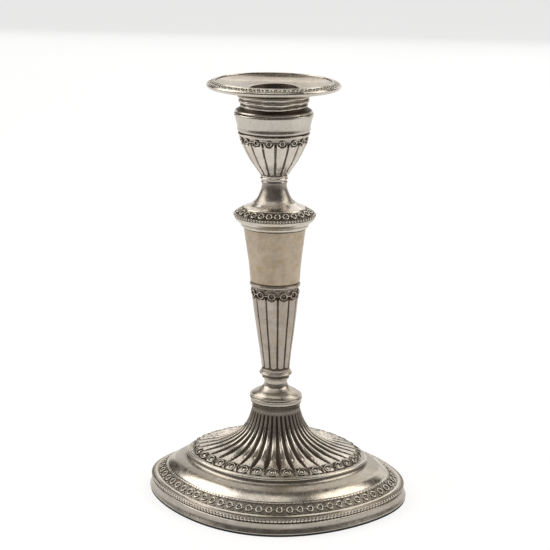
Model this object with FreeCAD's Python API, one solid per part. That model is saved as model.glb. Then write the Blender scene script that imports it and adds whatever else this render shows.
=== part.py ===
"""Oval neoclassical table candlestick with a loose drip-pan nozzle.

Every horizontal section is an oval with its long axis along X. Slender sections are plain
ellipses; the sections of the foot are ellipses whose flanks are drawn in a little on either side
of their middle. The origin is the centre of the face that the candlestick rests on, and +Z is up.
Sizes are in millimetres.

A profile is a list of (height, half-length), from the bottom up. A station is (height,
half-length, half-width, pinch): a profile's point, given the oval that its zone follows.
"""
import FreeCAD, Part
import math
import os

# ---- driving dimensions -------------------------------------------------------------------------
OVERALL_HEIGHT = 204.5
FOOT_HALF_LENGTH = 64.0
FOOT_HALF_WIDTH = 49.8
BAND_HALF_LENGTH = 55.2          # inner edge of the foot's ornamented band
BAND_HALF_WIDTH = 39.5
LIP_HALF_LENGTH = 44.7           # lip round the fluted plateau
LIP_HALF_WIDTH = 30.6
FOOT_PINCH = 0.2                 # how far the foot's flanks are drawn in, as a share of their width
OVAL_POINTS = 32                 # points that a pinched oval is drawn through
SLENDER_HALF_LENGTH = 15.0       # sections this slim or slimmer all have the same oval
SLENDER_OVAL = 0.75              # width over length of a slender section
SKIN = 0.6                       # thickness of the plain silver sheet
STRUCK_SKIN = 0.9                # sheet with struck ornament, over the depth of its relief
FLUTED_SKIN = 1.9                # the trumpet, over the depth of its flutes
GAP = 0.12                       # room between a filling and the sheet round it
END_MARGIN = 0.35                # least height between a shell's end and its next inner station

CANDLE_RADIUS = 11.0             # the nozzle's bore
SOCKET_WALL = 0.4
SOCKET_MOUTH_Z = 201.0
SOCKET_TAPER_Z = 182.4           # the bore is straight from here to its mouth
SOCKET_FOOT_Z = 176.3
SOCKET_FOOT_RADIUS = 9.0
COLLAR_OVAL = 0.845              # width over length of the collar under the nozzle's pan
COLLAR_WAIST = 15.3              # half-length of the collar where it is slimmest
FLANGE_HALF_LENGTH = 18.2        # the flange below it has the urn's oval at its edge
NOZZLE_BORDER_OFFSET = 7.0       # half-length less half-width, at the pan's border
NOZZLE_WELL_HALF_LENGTH = 27.0   # where the border meets the pan's well
NOZZLE_EYE = 12.0                # the pan is round from here to its hole
NOZZLE_TWIST = -6.0              # degrees: the loose nozzle sits slightly turned in the urn

ROD_RADIUS = 2.5
ROD_CLEARANCE = 0.05
ROD_FOOT_Z = 0.9
ROD_TOP_Z = 172.0
NUT_ACROSS_FLATS = 8.0
NUT_HEIGHT = 2.7
WASHER_RADIUS = 6.0
WASHER_THICKNESS = 0.8
NUT_POCKET_RADIUS = 6.6

# ---- heights where one piece meets the next -----------------------------------------------------
BAIZE_TOP_Z = 0.8
APRON_TOP_Z = 6.2
BEAD_TOP_Z = 8.4
LIP_FOOT_Z = 19.0
TRUMPET_TOP_Z = 44.9
KNOP_EDGE_Z = 49.7
WAIST_Z = 57.7
STEM_FOOT_Z = 63.9
STEM_TOP_Z = 134.5
COLLAR_EDGE_Z = 140.7
COLLAR_CAP_FOOT_Z = 142.2
NECK_FOOT_Z = 147.6
NECK_TOP_Z = 157.8
URN_FOOT_Z = 159.7
URN_BAND_FOOT_Z = 180.6
URN_FLOOR_Z = 175.6
URN_FLOOR_THICKNESS = 0.6
PAN_FOOT_Z = 200.3
PAN_EDGE_Z = 202.2
BORDER_FOOT_Z = 201.0

# ---- profiles of the sheet pieces, from the bottom up -------------------------------------------
APRON = [(BAIZE_TOP_Z, FOOT_HALF_LENGTH), (3.3, 63.2), (APRON_TOP_Z, 62.8)]
FOOT_BEAD = [(APRON_TOP_Z, 62.4), (7.3, 62.9), (BEAD_TOP_Z, 61.8)]
SKIRT = [
    (BEAD_TOP_Z, 60.8),
    (12.1, BAND_HALF_LENGTH),
    (14.1, 53.0),
    (15.8, 50.3),
    (16.8, 47.7),
    (17.8, 45.5),
    (LIP_FOOT_Z, 44.3),
]
TRUMPET = [
    (LIP_FOOT_Z, 44.5),
    (20.3, 44.3),
    (21.4, 43.1),
    (22.8, 40.6),
    (24.1, 35.1),
    (26.2, 28.1),
    (29.2, 21.5),
    (33.8, 16.0),
    (38.6, 13.3),
    (TRUMPET_TOP_Z, 11.4),
]
KNOP_RING = [(TRUMPET_TOP_Z, 11.4), (46.5, 11.8), (48.0, 12.4), (KNOP_EDGE_Z, 12.5)]
KNOP_WIRE = [(48.4, 12.6), (KNOP_EDGE_Z, 12.9), (50.9, 12.5)]
KNOP_BELL = [
    (KNOP_EDGE_Z, 12.4),
    (51.3, 12.1),
    (52.8, 10.6),
    (54.5, 7.9),
    (56.1, 6.1),
    (WAIST_Z, 5.5),
]
STEM_BASE = [(WAIST_Z, 5.5), (59.8, 5.9), (61.4, 6.9), (62.7, 7.9), (STEM_FOOT_Z, 7.4)]
STEM = [
    (STEM_FOOT_Z, 7.0),
    (65.7, 6.8),
    (71.2, 7.3),
    (83.9, 9.0),
    (99.0, 10.8),
    (118.3, 12.5),
    (STEM_TOP_Z, 14.6),
]
STEM_WIRE = [(105.9, 11.65), (106.7, 11.95), (107.5, 11.85)]
COLLAR_DISH = [(STEM_TOP_Z, 14.6), (135.8, 15.9), (137.3, 16.7), (138.7, 17.9), (COLLAR_EDGE_Z, 19.1)]
COLLAR_BEAD = [(COLLAR_EDGE_Z, 19.1), (141.5, 19.6), (COLLAR_CAP_FOOT_Z, 19.3)]
COLLAR_CAP = [(COLLAR_CAP_FOOT_Z, 19.2), (143.1, 18.4), (144.6, 15.4), (146.1, 12.2), (NECK_FOOT_Z, 9.8)]
NECK = [(NECK_FOOT_Z, 9.8), (149.1, 8.4), (152.1, 6.9), (155.1, 6.0), (NECK_TOP_Z, 5.8)]
URN_FOOT_RING = [(NECK_TOP_Z, 6.0), (158.8, 6.4), (URN_FOOT_Z, 6.2)]
URN_CUP = [
    (URN_FOOT_Z, 6.3),
    (163.4, 8.4),
    (167.6, 11.3),
    (171.8, 13.6),
    (176.1, 15.4),
    (URN_BAND_FOOT_Z, 16.4),
]
URN_WIRE = [(179.2, 16.45), (179.9, 16.8), (URN_BAND_FOOT_Z, 16.8)]
URN_BAND = [(URN_BAND_FOOT_Z, 16.4), (183.6, 16.9), (187.6, 17.9), (188.9, 18.4), (189.8, 18.3)]

# the nozzle: a pan with a flat edge, a border that stands on it, and a collar below, which flares
# out to a flange over the urn's lip
PAN_UNDERSIDE = [(PAN_FOOT_Z, 17.6), (200.95, 23.5), (PAN_EDGE_Z, 29.4)]
PAN_WELL = [
    (SOCKET_MOUTH_Z, NOZZLE_EYE),
    (201.15, 16.5),
    (201.6, 22.5),
    (PAN_EDGE_Z, NOZZLE_WELL_HALF_LENGTH),
]
BORDER = [
    (BORDER_FOOT_Z, 30.1),
    (201.7, 30.9),
    (202.5, 31.25),
    (203.1, 31.0),
    (203.8, 29.6),
    (OVERALL_HEIGHT, 27.9),
]
BORDER_REBATE = [(BORDER_FOOT_Z, 29.5), (PAN_EDGE_Z, 29.5)]
BORDER_OPENING = [(PAN_EDGE_Z, NOZZLE_WELL_HALF_LENGTH), (OVERALL_HEIGHT, 27.2)]
NOZZLE_FLANGE = [(190.15, FLANGE_HALF_LENGTH), (190.55, 18.15), (191.2, 17.2), (191.9, 16.0), (192.6, 15.5)]
NOZZLE_COLLAR = [
    (193.7, COLLAR_WAIST),
    (195.3, 16.0),
    (196.4, 16.0),
    (197.5, 16.6),
    (198.7, 16.1),
    (199.6, 16.3),
    (PAN_FOOT_Z, 16.9),
]


# ---- ovals --------------------------------------------------------------------------------------
def on_line(x, start, end):
    """Height at x of the straight line through two points, start and end."""
    return start[1] + (x - start[0]) / (end[0] - start[0]) * (end[1] - start[1])


def body_oval(half_length):
    """Half-width and pinch: the foot is broad and pinched, the slender parts plain and narrow."""
    knots = [
        (SLENDER_HALF_LENGTH, SLENDER_OVAL * SLENDER_HALF_LENGTH),
        (LIP_HALF_LENGTH, LIP_HALF_WIDTH),
        (BAND_HALF_LENGTH, BAND_HALF_WIDTH),
        (FOOT_HALF_LENGTH, FOOT_HALF_WIDTH),
    ]
    if half_length <= SLENDER_HALF_LENGTH:
        return SLENDER_OVAL * half_length, 0.0
    step = 0
    while step < len(knots) - 2 and half_length > knots[step + 1][0]:
        step += 1
    half_width = on_line(half_length, knots[step], knots[step + 1])
    pinch = on_line(half_length, (SLENDER_HALF_LENGTH, 0.0), (LIP_HALF_LENGTH, FOOT_PINCH))
    return half_width, min(pinch, FOOT_PINCH)


def urn_oval(half_length):
    """Collar and urn keep the slender oval, whatever their length."""
    return SLENDER_OVAL * half_length, 0.0


def pan_oval(half_length):
    """The pan is round at its hole and keeps an even border round its edge."""
    eye = (NOZZLE_EYE, NOZZLE_EYE)
    well = (NOZZLE_WELL_HALF_LENGTH, NOZZLE_WELL_HALF_LENGTH - NOZZLE_BORDER_OFFSET)
    if half_length <= NOZZLE_EYE:
        return half_length, 0.0
    if half_length <= NOZZLE_WELL_HALF_LENGTH:
        return on_line(half_length, eye, well), 0.0
    return half_length - NOZZLE_BORDER_OFFSET, 0.0


def collar_oval(half_length):
    """The collar under the pan is a fuller oval than the urn."""
    return COLLAR_OVAL * half_length, 0.0


def flange_oval(half_length):
    """The flange goes over from the collar's oval to the urn's."""
    waist = (COLLAR_WAIST, COLLAR_OVAL * COLLAR_WAIST)
    edge = (FLANGE_HALF_LENGTH, SLENDER_OVAL * FLANGE_HALF_LENGTH)
    return on_line(half_length, waist, edge), 0.0


def stations_of(profile, oval):
    """Give each point of a profile the half-width and the pinch of its oval."""
    return [(z, a, *oval(a)) for z, a in profile]


# ---- solids -------------------------------------------------------------------------------------
def plain_outline(z, a, b):
    """Level ellipse."""
    ellipse = Part.Ellipse(FreeCAD.Vector(0, 0, z), a, b)
    return Part.Wire([ellipse.toShape()])


def pinched_outline(z, a, b, pinch):
    """Level ellipse whose flanks are drawn in on either side of their middle."""
    points = []
    for i in range(OVAL_POINTS):
        angle = 2 * math.pi * i / OVAL_POINTS
        drawn_in = 1 - pinch * math.cos(angle) ** 2
        points.append(FreeCAD.Vector(a * math.cos(angle), b * math.sin(angle) * drawn_in, z))
    curve = Part.BSplineCurve()
    curve.interpolate(Points=points, PeriodicFlag=True)
    return Part.Wire([curve.toShape()])


def loft(stations, ruled=False):
    """Closed solid through the oval at each station: smooth, or straight-sided between stations."""
    if any(pinch > 0 for z, a, b, pinch in stations):
        wires = [pinched_outline(z, a, b, pinch) for z, a, b, pinch in stations]
    else:
        wires = [plain_outline(z, a, b) for z, a, b, pinch in stations]
    return Part.makeLoft(wires, True, ruled)


def inset(stations, depth):
    """Stations of the surface that lies this deep under the given one; both ends stay level.

    A station that would come too close to either end is left out.
    """
    last = len(stations) - 1
    low = stations[0][0]
    high = stations[last][0]
    inner = []
    for i, (z, a, b, pinch) in enumerate(stations):
        below = stations[max(i - 1, 0)]
        above = stations[min(i + 1, last)]
        rise = above[0] - below[0]
        run = above[1] - below[1]
        slope_length = math.hypot(rise, run)
        if i in (0, last):
            inward = depth * slope_length / rise
            inner.append((z, a - inward, b - inward, pinch))
            continue
        inward = depth * rise / slope_length
        height = z + depth * run / slope_length
        if low + END_MARGIN < height < high - END_MARGIN:
            inner.append((height, a - inward, b - inward, pinch))
    return inner


def sheet(stations, thickness=SKIN, ruled=False):
    """Open-ended shell of sheet metal whose outside follows the stations."""
    return loft(stations, ruled).cut(loft(inset(stations, thickness), ruled))


def applied_wire(stations, *hosts):
    """Moulded ring soldered round the outside of its host pieces, given as their stations."""
    ring = loft(stations)
    for host in hosts:
        ring = ring.cut(loft(host))
    return ring


def disc(low, high, half_length, oval):
    """Flat oval plate."""
    return loft(stations_of([(low, half_length), (high, half_length)], oval))


def rod_hole(low, high):
    """Round hole that the load rod passes through."""
    centre = FreeCAD.Vector(0, 0, low)
    return Part.makeCylinder(ROD_RADIUS + ROD_CLEARANCE, high - low, centre)


def filling(shells):
    """Filling of the given sheet pieces, each as its stations and its thickness, joined end to end."""
    lumps = [loft(inset(stations, thickness + GAP)) for stations, thickness in shells]
    solid = lumps[0]
    for lump in lumps[1:]:
        solid = solid.fuse(lump)
    return solid


def turned(shape):
    """Nozzle pieces, turned a little on the urn."""
    shape.rotate(FreeCAD.Vector(0, 0, 0), FreeCAD.Vector(0, 0, 1), NOZZLE_TWIST)
    return shape


# ---- pieces of the foot -------------------------------------------------------------------------
def foot_pieces():
    apron_skin = 0.9
    bead_bore = 60.4
    bead = loft(stations_of(FOOT_BEAD, body_oval))
    return {
        "baize_pad": disc(0.0, BAIZE_TOP_Z, FOOT_HALF_LENGTH - 1.0, body_oval),
        "base_board": base_board(FOOT_HALF_LENGTH - 2.6),
        "foot_apron": sheet(stations_of(APRON, body_oval), apron_skin),
        "foot_bead_wire": bead.cut(disc(APRON_TOP_Z, BEAD_TOP_Z, bead_bore, body_oval)),
        "foot_skirt": sheet(stations_of(SKIRT, body_oval), STRUCK_SKIN),
        "fluted_trumpet": sheet(stations_of(TRUMPET, body_oval), FLUTED_SKIN),
        "foot_filling": foot_filling(bead_bore - 1.2),
    }


def base_board(half_length):
    """Wooden board that closes the foot, with a pocket for the rod's nut and washer."""
    board = disc(BAIZE_TOP_Z, APRON_TOP_Z, half_length, body_oval)
    pocket_depth = ROD_FOOT_Z + NUT_HEIGHT + WASHER_THICKNESS - BAIZE_TOP_Z
    pocket = Part.makeCylinder(NUT_POCKET_RADIUS, pocket_depth, FreeCAD.Vector(0, 0, BAIZE_TOP_Z))
    return board.cut(pocket).cut(rod_hole(BAIZE_TOP_Z, APRON_TOP_Z))


def foot_filling(plug_half_length):
    """Pitch from the base board up to the top of the trumpet."""
    plug = disc(APRON_TOP_Z, BEAD_TOP_Z, plug_half_length, body_oval)
    skirt = (stations_of(SKIRT, body_oval), STRUCK_SKIN)
    trumpet = (stations_of(TRUMPET, body_oval), FLUTED_SKIN)
    upper = filling([skirt, trumpet])
    return plug.fuse(upper).cut(rod_hole(APRON_TOP_Z, TRUMPET_TOP_Z))


# ---- pieces of the knop, stem and collar --------------------------------------------------------
def stem_pieces():
    knop_ring = stations_of(KNOP_RING, body_oval)
    knop_bell = stations_of(KNOP_BELL, body_oval)
    knop_wire = stations_of(KNOP_WIRE, body_oval)
    stem = stations_of(STEM, body_oval)
    stem_wire = stations_of(STEM_WIRE, body_oval)
    collar_bead = loft(stations_of(COLLAR_BEAD, urn_oval))
    collar_bead_bore = disc(COLLAR_EDGE_Z, COLLAR_CAP_FOOT_Z, 17.6, urn_oval)
    whole_stem = sheet(stem, STRUCK_SKIN)
    room = 2 * FOOT_HALF_LENGTH
    front_side = Part.makeBox(room, room, OVERALL_HEIGHT, FreeCAD.Vector(-room / 2, -room, 0))
    return {
        "knop_ring": sheet(knop_ring),
        "knop_wire": applied_wire(knop_wire, knop_ring, knop_bell),
        "knop_bell": sheet(knop_bell),
        "stem_base_ring": sheet(stations_of(STEM_BASE, body_oval)),
        "stem_front_half": whole_stem.common(front_side),
        "stem_back_half": whole_stem.cut(front_side),
        "stem_wire": applied_wire(stem_wire, stem),
        "collar_dish": sheet(stations_of(COLLAR_DISH, urn_oval)),
        "collar_bead_wire": collar_bead.cut(collar_bead_bore),
        "collar_cap": sheet(stations_of(COLLAR_CAP, urn_oval), STRUCK_SKIN),
        "neck": sheet(stations_of(NECK, urn_oval)),
        "stem_filling": stem_filling(),
    }


def stem_filling():
    """Pitch from the knop up to the neck, in the parts that the rod runs through."""
    plain = [KNOP_RING, KNOP_BELL, STEM_BASE]
    shells = [(stations_of(profile, body_oval), SKIN) for profile in plain]
    shells.append((stations_of(STEM, body_oval), STRUCK_SKIN))
    shells.append((stations_of(COLLAR_DISH, urn_oval), SKIN))
    shells.append((stations_of(COLLAR_CAP, urn_oval), STRUCK_SKIN))
    shells.append((stations_of(NECK, urn_oval), SKIN))
    core = disc(COLLAR_EDGE_Z, COLLAR_CAP_FOOT_Z, 16.0, urn_oval)
    return filling(shells).fuse(core).cut(rod_hole(TRUMPET_TOP_Z, NECK_TOP_Z))


# ---- pieces of the urn --------------------------------------------------------------------------
def urn_pieces():
    foot_ring = stations_of(URN_FOOT_RING, urn_oval)
    cup = stations_of(URN_CUP, urn_oval)
    band = stations_of(URN_BAND, urn_oval)
    room_in_cup = loft(inset(cup, STRUCK_SKIN + GAP))
    floor = disc(URN_FLOOR_Z, URN_FLOOR_Z + URN_FLOOR_THICKNESS, URN_BAND[0][1], urn_oval)
    room = 2 * FOOT_HALF_LENGTH
    above_floor = Part.makeBox(room, room, room, FreeCAD.Vector(-room / 2, -room / 2, URN_FLOOR_Z))
    inside = filling([(foot_ring, SKIN), (cup, STRUCK_SKIN)])
    return {
        "urn_foot_ring": sheet(foot_ring),
        "urn_cup": sheet(cup, STRUCK_SKIN),
        "urn_wire": applied_wire(stations_of(URN_WIRE, urn_oval), cup),
        "urn_band": sheet(band),
        "urn_floor": floor.common(room_in_cup),
        "urn_filling": inside.cut(above_floor).cut(rod_hole(NECK_TOP_Z, ROD_TOP_Z)),
    }


# ---- the load rod and its fastening -------------------------------------------------------------
def rod_pieces():
    up = FreeCAD.Vector(0, 0, 1)
    washer_foot = ROD_FOOT_Z + NUT_HEIGHT
    rod = Part.makeCylinder(ROD_RADIUS, ROD_TOP_Z - ROD_FOOT_Z, FreeCAD.Vector(0, 0, ROD_FOOT_Z))
    washer = Part.makeCylinder(WASHER_RADIUS, WASHER_THICKNESS, FreeCAD.Vector(0, 0, washer_foot))
    corner_radius = NUT_ACROSS_FLATS / math.sqrt(3)
    corners = []
    for i in range(7):
        angle = math.radians(60 * i)
        x = corner_radius * math.cos(angle)
        y = corner_radius * math.sin(angle)
        corners.append(FreeCAD.Vector(x, y, ROD_FOOT_Z))
    nut = Part.Face(Part.makePolygon(corners)).extrude(up * NUT_HEIGHT)
    hole = rod_hole(ROD_FOOT_Z, washer_foot + WASHER_THICKNESS)
    return {
        "load_rod": rod,
        "rod_washer": washer.cut(hole),
        "rod_nut": nut.cut(hole),
    }


# ---- pieces of the loose nozzle -----------------------------------------------------------------
def nozzle_pieces():
    collar = stations_of(NOZZLE_FLANGE, flange_oval) + stations_of(NOZZLE_COLLAR, collar_oval)
    pieces = {
        "nozzle_pan": nozzle_pan(),
        "nozzle_rim_wire": nozzle_rim_wire(),
        "nozzle_collar": sheet(collar, ruled=True),
        "nozzle_socket": nozzle_socket(),
    }
    return {name: turned(shape) for name, shape in pieces.items()}


def nozzle_pan():
    """Dished oval pan with a round hole for the socket and a flat edge for the border."""
    hole_radius = CANDLE_RADIUS + SOCKET_WALL + GAP / 2
    hole = Part.makeCylinder(hole_radius, PAN_EDGE_Z - PAN_FOOT_Z, FreeCAD.Vector(0, 0, PAN_FOOT_Z))
    bowl = loft(stations_of(PAN_UNDERSIDE, pan_oval))
    well = loft(stations_of(PAN_WELL, pan_oval))
    return bowl.cut(well).cut(hole)


def nozzle_rim_wire():
    """Raised border round the pan, hooked over the pan's edge."""
    border = loft(stations_of(BORDER, pan_oval))
    rebate = loft(stations_of(BORDER_REBATE, pan_oval))
    opening = loft(stations_of(BORDER_OPENING, pan_oval))
    return border.cut(rebate).cut(opening)


def nozzle_socket():
    """Round candle tube: straight bore above, tapering to a flat floor below."""
    outer_radius = CANDLE_RADIUS + SOCKET_WALL
    floor_thickness = 0.5
    straight_height = SOCKET_MOUTH_Z - SOCKET_TAPER_Z
    taper_foot = FreeCAD.Vector(0, 0, SOCKET_FOOT_Z)
    taper_height = SOCKET_TAPER_Z - SOCKET_FOOT_Z
    straight_foot = FreeCAD.Vector(0, 0, SOCKET_TAPER_Z)
    taper = Part.makeCone(SOCKET_FOOT_RADIUS, outer_radius, taper_height, taper_foot)
    tube = Part.makeCylinder(outer_radius, straight_height, straight_foot)
    inner_foot = FreeCAD.Vector(0, 0, SOCKET_FOOT_Z + floor_thickness)
    inner_height = taper_height - floor_thickness
    inner_foot_radius = SOCKET_FOOT_RADIUS - SOCKET_WALL
    inner_taper = Part.makeCone(inner_foot_radius, CANDLE_RADIUS, inner_height, inner_foot)
    bore = Part.makeCylinder(CANDLE_RADIUS, straight_height, straight_foot)
    return taper.fuse(tube).cut(inner_taper).cut(bore)


def main():
    os.makedirs("parts", exist_ok=True)
    pieces = {}
    for group in (foot_pieces, stem_pieces, urn_pieces, rod_pieces, nozzle_pieces):
        pieces.update(group())
    for name, shape in pieces.items():
        box = shape.BoundBox
        solids = len(shape.Solids)
        print(f"{name:18s} solids {solids} valid {shape.isValid()} volume {shape.Volume:9.1f} "
              f"z {box.ZMin:7.2f} to {box.ZMax:7.2f} x {box.XLength:6.2f} y {box.YLength:6.2f}")
        shape.exportStep(f"parts/{name}.step")


main()
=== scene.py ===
"""Looks of the oval silver candlestick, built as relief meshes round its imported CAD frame.

Profiles and sizes are in millimetres and become metres when a mesh is made. A profile is a list of
runs; each run is a smooth curve through (height, half-length) points, and runs meet at corners. Every
level section is an oval, and an angle goes round it from the +X end, so the front is at -90 degrees.
"""
import math

import bpy
import numpy as np
from mathutils import Matrix, Vector


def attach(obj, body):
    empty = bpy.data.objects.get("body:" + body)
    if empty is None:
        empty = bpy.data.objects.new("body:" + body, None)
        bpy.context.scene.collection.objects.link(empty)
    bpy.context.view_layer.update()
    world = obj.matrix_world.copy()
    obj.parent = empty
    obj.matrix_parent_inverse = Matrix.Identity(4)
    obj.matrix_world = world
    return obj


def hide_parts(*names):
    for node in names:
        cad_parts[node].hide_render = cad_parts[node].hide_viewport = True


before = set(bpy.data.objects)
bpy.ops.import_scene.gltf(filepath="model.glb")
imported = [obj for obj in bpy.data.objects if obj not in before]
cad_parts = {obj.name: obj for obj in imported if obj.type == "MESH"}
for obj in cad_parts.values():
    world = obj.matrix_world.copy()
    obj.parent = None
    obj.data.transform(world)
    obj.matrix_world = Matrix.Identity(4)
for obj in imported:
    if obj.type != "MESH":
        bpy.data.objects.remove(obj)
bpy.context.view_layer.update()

MM = 0.001
FRONT = -90.0
STICK = "candlestick"
NOZZLE = "nozzle"
TARNISHED = "tarnished_silver"

# ---- driving dimensions, as in the CAD model: (half-length, half-width) pairs ----
FOOT = (64.0, 49.8)               # the foot's edge
BAND = (55.2, 39.5)               # inner edge of the foot's ornamented band
LIP = (44.7, 30.6)                # lip round the fluted plateau
SLENDER = (15.0, 11.25)           # where the slender oval begins
FOOT_PINCH = 0.2                  # how far the foot's flanks are drawn in
NOZZLE_EYE = (12.0, 12.0)         # the pan is round at its hole
NOZZLE_WELL = (27.0, 20.0)        # where the pan's well meets its border
NOZZLE_TWIST = -6.0               # degrees that the loose nozzle sits turned
COLLAR_OVAL = 0.845               # width over length of the collar under the pan
COLLAR_WAIST = 15.3               # half-length of the collar where it is slimmest
FLANGE = 18.2                     # half-length of the flange below it, which has the urn's oval

NICHE_SHARE = 0.8                 # radius of the niche round a flute's ring, over half the pitch
NICHE_RISE = 1.15                 # height over half-width of a niche's arch
NICHE_TIP = 2.4                   # how far below its ring a niche meets the next one
NICHE_DEPTH = 0.95                # how far the ground round the rings is sunk
CHANNEL_DEPTH = 1.2               # depth of a channel where it is deepest
# how far up the slope from the rings, and how much of the pitch the channel takes there
CHANNEL_SHARES = ((-NICHE_TIP, 0.0), (0.0, 0.12), (3.5, 0.3), (7.0, 0.42), (10.0, 0.5), (14.0, 0.56))

# how many of each go round
FLUTES = 36
FOOT_RINGS = 64
FOOT_BEADS = 192
PEARLS = 166
STEM_TONGUES = 12
URN_TONGUES = 16
COLLAR_RINGS = 24
COLLAR_BEADS = 76
BORDER_RINGS = 42

TURNED_SHEET = 0.6                # thickness of the plain turned pieces
STRUCK_SHEET = 0.85               # thickness of the pieces with struck ornament
FLUTED_SHEET = 1.8                # thickness of the trumpet, as deep as its channels and rings

# ---- mesh columns round a piece ----
FOOT_COLUMNS = 320
WIDE_COLUMNS = 240
SLIM_COLUMNS = 160
TUBE_COLUMNS = 96
COLUMNS_PER_FLUTE = 24
COLUMNS_PER_URN_TONGUE = 20
STEM_HALF_COLUMNS = 168

# ---- silver: colours are (light, dull, stain) ----
# brown of the oxide in the recesses, and also of the painted shade that the meshes' masks carry
OXIDE_AND_SHADE = (0.045, 0.030, 0.020)
SPECKS = (0.16, 0.12, 0.08)
STRUCK_TONES = ((0.66, 0.605, 0.54), (0.52, 0.47, 0.41), (0.44, 0.37, 0.24))
STAINED_TONES = ((0.51, 0.42, 0.325), (0.39, 0.33, 0.25), (0.38, 0.29, 0.18))
WARM_TONES = ((0.49, 0.43, 0.375), (0.33, 0.285, 0.24), (0.37, 0.30, 0.20))
SATIN_TONES = ((0.52, 0.47, 0.41), (0.42, 0.375, 0.325), (0.40, 0.34, 0.23))
BRIGHT_TONES = ((0.60, 0.555, 0.50), (0.50, 0.46, 0.405), (0.44, 0.39, 0.30))
DARK_TONES = ((0.30, 0.26, 0.22), (0.20, 0.17, 0.145), (0.17, 0.13, 0.09))


# ---- camera, floor and light ----
def make_camera():
    """The main viewpoint: a little to the right of the front, looking down on the foot."""
    distance, height = 0.6525, 0.32175
    azimuth, pitch, roll = math.radians(11.4), math.radians(17.84), math.radians(-0.4355)
    data = bpy.data.cameras.new("camera")
    data.sensor_width = 36.0
    data.lens = 94.91
    data.clip_start = 0.01
    camera = bpy.data.objects.new("camera", data)
    bpy.context.scene.collection.objects.link(camera)
    turn = Matrix.Rotation(azimuth, 4, "Z")
    tilt = Matrix.Rotation(math.pi / 2 - pitch, 4, "X")
    lean = Matrix.Rotation(roll, 4, "Z")
    place = Matrix.Translation((distance * math.sin(azimuth), -distance * math.cos(azimuth), height))
    camera.matrix_world = place @ turn @ tilt @ lean
    bpy.context.scene.camera = camera


def add_light(name, position, target, size, radiance, tint=(1.0, 1.0, 1.0)):
    """Rectangular soft light that points at a target; its power follows from its radiance and size."""
    data = bpy.data.lights.new(name, "AREA")
    data.shape = "RECTANGLE"
    data.size, data.size_y = size
    data.energy = radiance * math.pi * size[0] * size[1]
    data.color = tint
    light = bpy.data.objects.new(name, data)
    light.location = position
    aim = Vector(target) - Vector(position)
    light.rotation_euler = aim.to_track_quat("-Z", "Y").to_euler()
    bpy.context.scene.collection.objects.link(light)


def make_studio():
    """Pale table in a dim room, lit by softboxes at the left, right, top and front and by a bright
    sweep behind it."""
    scene = bpy.context.scene
    scene.view_settings.view_transform = "Standard"
    world = bpy.data.worlds.new("studio")
    world.use_nodes = True
    background = world.node_tree.nodes["Background"]
    background.inputs["Color"].default_value = (1.0, 0.96, 0.9, 1.0)
    background.inputs["Strength"].default_value = 0.10
    scene.world = world
    middle = (0.0, 0.0, 0.08)
    add_light("left_softbox", (-0.75, -0.15, 0.62), middle, (0.7, 0.8), 2.6, (1.0, 0.98, 0.95))
    add_light("right_softbox", (0.75, -0.12, 0.70), middle, (0.6, 0.8), 2.5, (1.0, 0.97, 0.92))
    add_light("back_sweep", (0.0, 1.3, 0.55), middle, (2.6, 1.0), 0.95)
    add_light("top_softbox", (0.0, 0.70, 1.02), middle, (1.5, 0.75), 1.2, (1.0, 0.98, 0.94))
    add_light("front_softbox", (-0.12, -0.55, 1.05), middle, (0.7, 0.5), 1.1, (1.0, 0.98, 0.94))
    reach, table_edge = 4.0, -0.42
    corners = [(-reach, table_edge, 0), (reach, table_edge, 0), (reach, reach, 0), (-reach, reach, 0)]
    floor_mesh = bpy.data.meshes.new("floor")
    floor_mesh.from_pydata(corners, [], [(0, 1, 2, 3)])
    floor_mesh.materials.append(floor_material())
    floor = bpy.data.objects.new("floor", floor_mesh)
    scene.collection.objects.link(floor)


# ---- materials ----
def new_material(name):
    """New node material, its nodes, its links and its shader."""
    material = bpy.data.materials.new(name)
    material.use_nodes = True
    nodes = material.node_tree.nodes
    return material, nodes, material.node_tree.links, nodes["Principled BSDF"]


def noise(nodes, links, vector, scale, detail=4.0, roughness=0.55):
    """Noise of a given scale, in waves per metre."""
    node = nodes.new("ShaderNodeTexNoise")
    node.inputs["Scale"].default_value = scale
    node.inputs["Detail"].default_value = detail
    node.inputs["Roughness"].default_value = roughness
    links.new(vector, node.inputs["Vector"])
    return node.outputs["Fac"]


def ramp(nodes, links, fac, stops):
    """Colour ramp from (position, colour) stops."""
    node = nodes.new("ShaderNodeValToRGB")
    elements = node.color_ramp.elements
    while len(elements) < len(stops):
        elements.new(0.5)
    for element, (position, colour) in zip(elements, stops):
        element.position = position
        element.color = (*colour, 1.0)
    links.new(fac, node.inputs["Fac"])
    return node.outputs["Color"]


def blend_colours(nodes, links, fac, first, second):
    """A colour socket mixed with a plain colour."""
    first_colour, second_colour, result = 6, 7, 2
    node = nodes.new("ShaderNodeMix")
    node.data_type = "RGBA"
    links.new(fac, node.inputs["Factor"])
    links.new(first, node.inputs[first_colour])
    node.inputs[second_colour].default_value = (*second, 1.0)
    return node.outputs[result]


def map_range(nodes, links, value, low, high, to_low, to_high):
    """Value carried from one range to another, and held at its ends."""
    node = nodes.new("ShaderNodeMapRange")
    for name, number in (("From Min", low), ("From Max", high), ("To Min", to_low), ("To Max", to_high)):
        node.inputs[name].default_value = number
    links.new(value, node.inputs["Value"])
    return node.outputs["Result"]


def combine(nodes, links, operation, *values):
    """Math node; each value is a socket or a plain number."""
    node = nodes.new("ShaderNodeMath")
    node.operation = operation
    for socket, value in zip(node.inputs, values):
        if isinstance(value, bpy.types.NodeSocket):
            links.new(value, socket)
        else:
            socket.default_value = value
    return node.outputs[0]


def add_bump(nodes, links, height, depth_mm, under=None):
    """Bump of a given depth, on top of another one if that is given."""
    node = nodes.new("ShaderNodeBump")
    node.inputs["Strength"].default_value = 1.0
    node.inputs["Distance"].default_value = depth_mm * MM
    links.new(height, node.inputs["Height"])
    if under is not None:
        links.new(under, node.inputs["Normal"])
    return node.outputs["Normal"]


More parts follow.
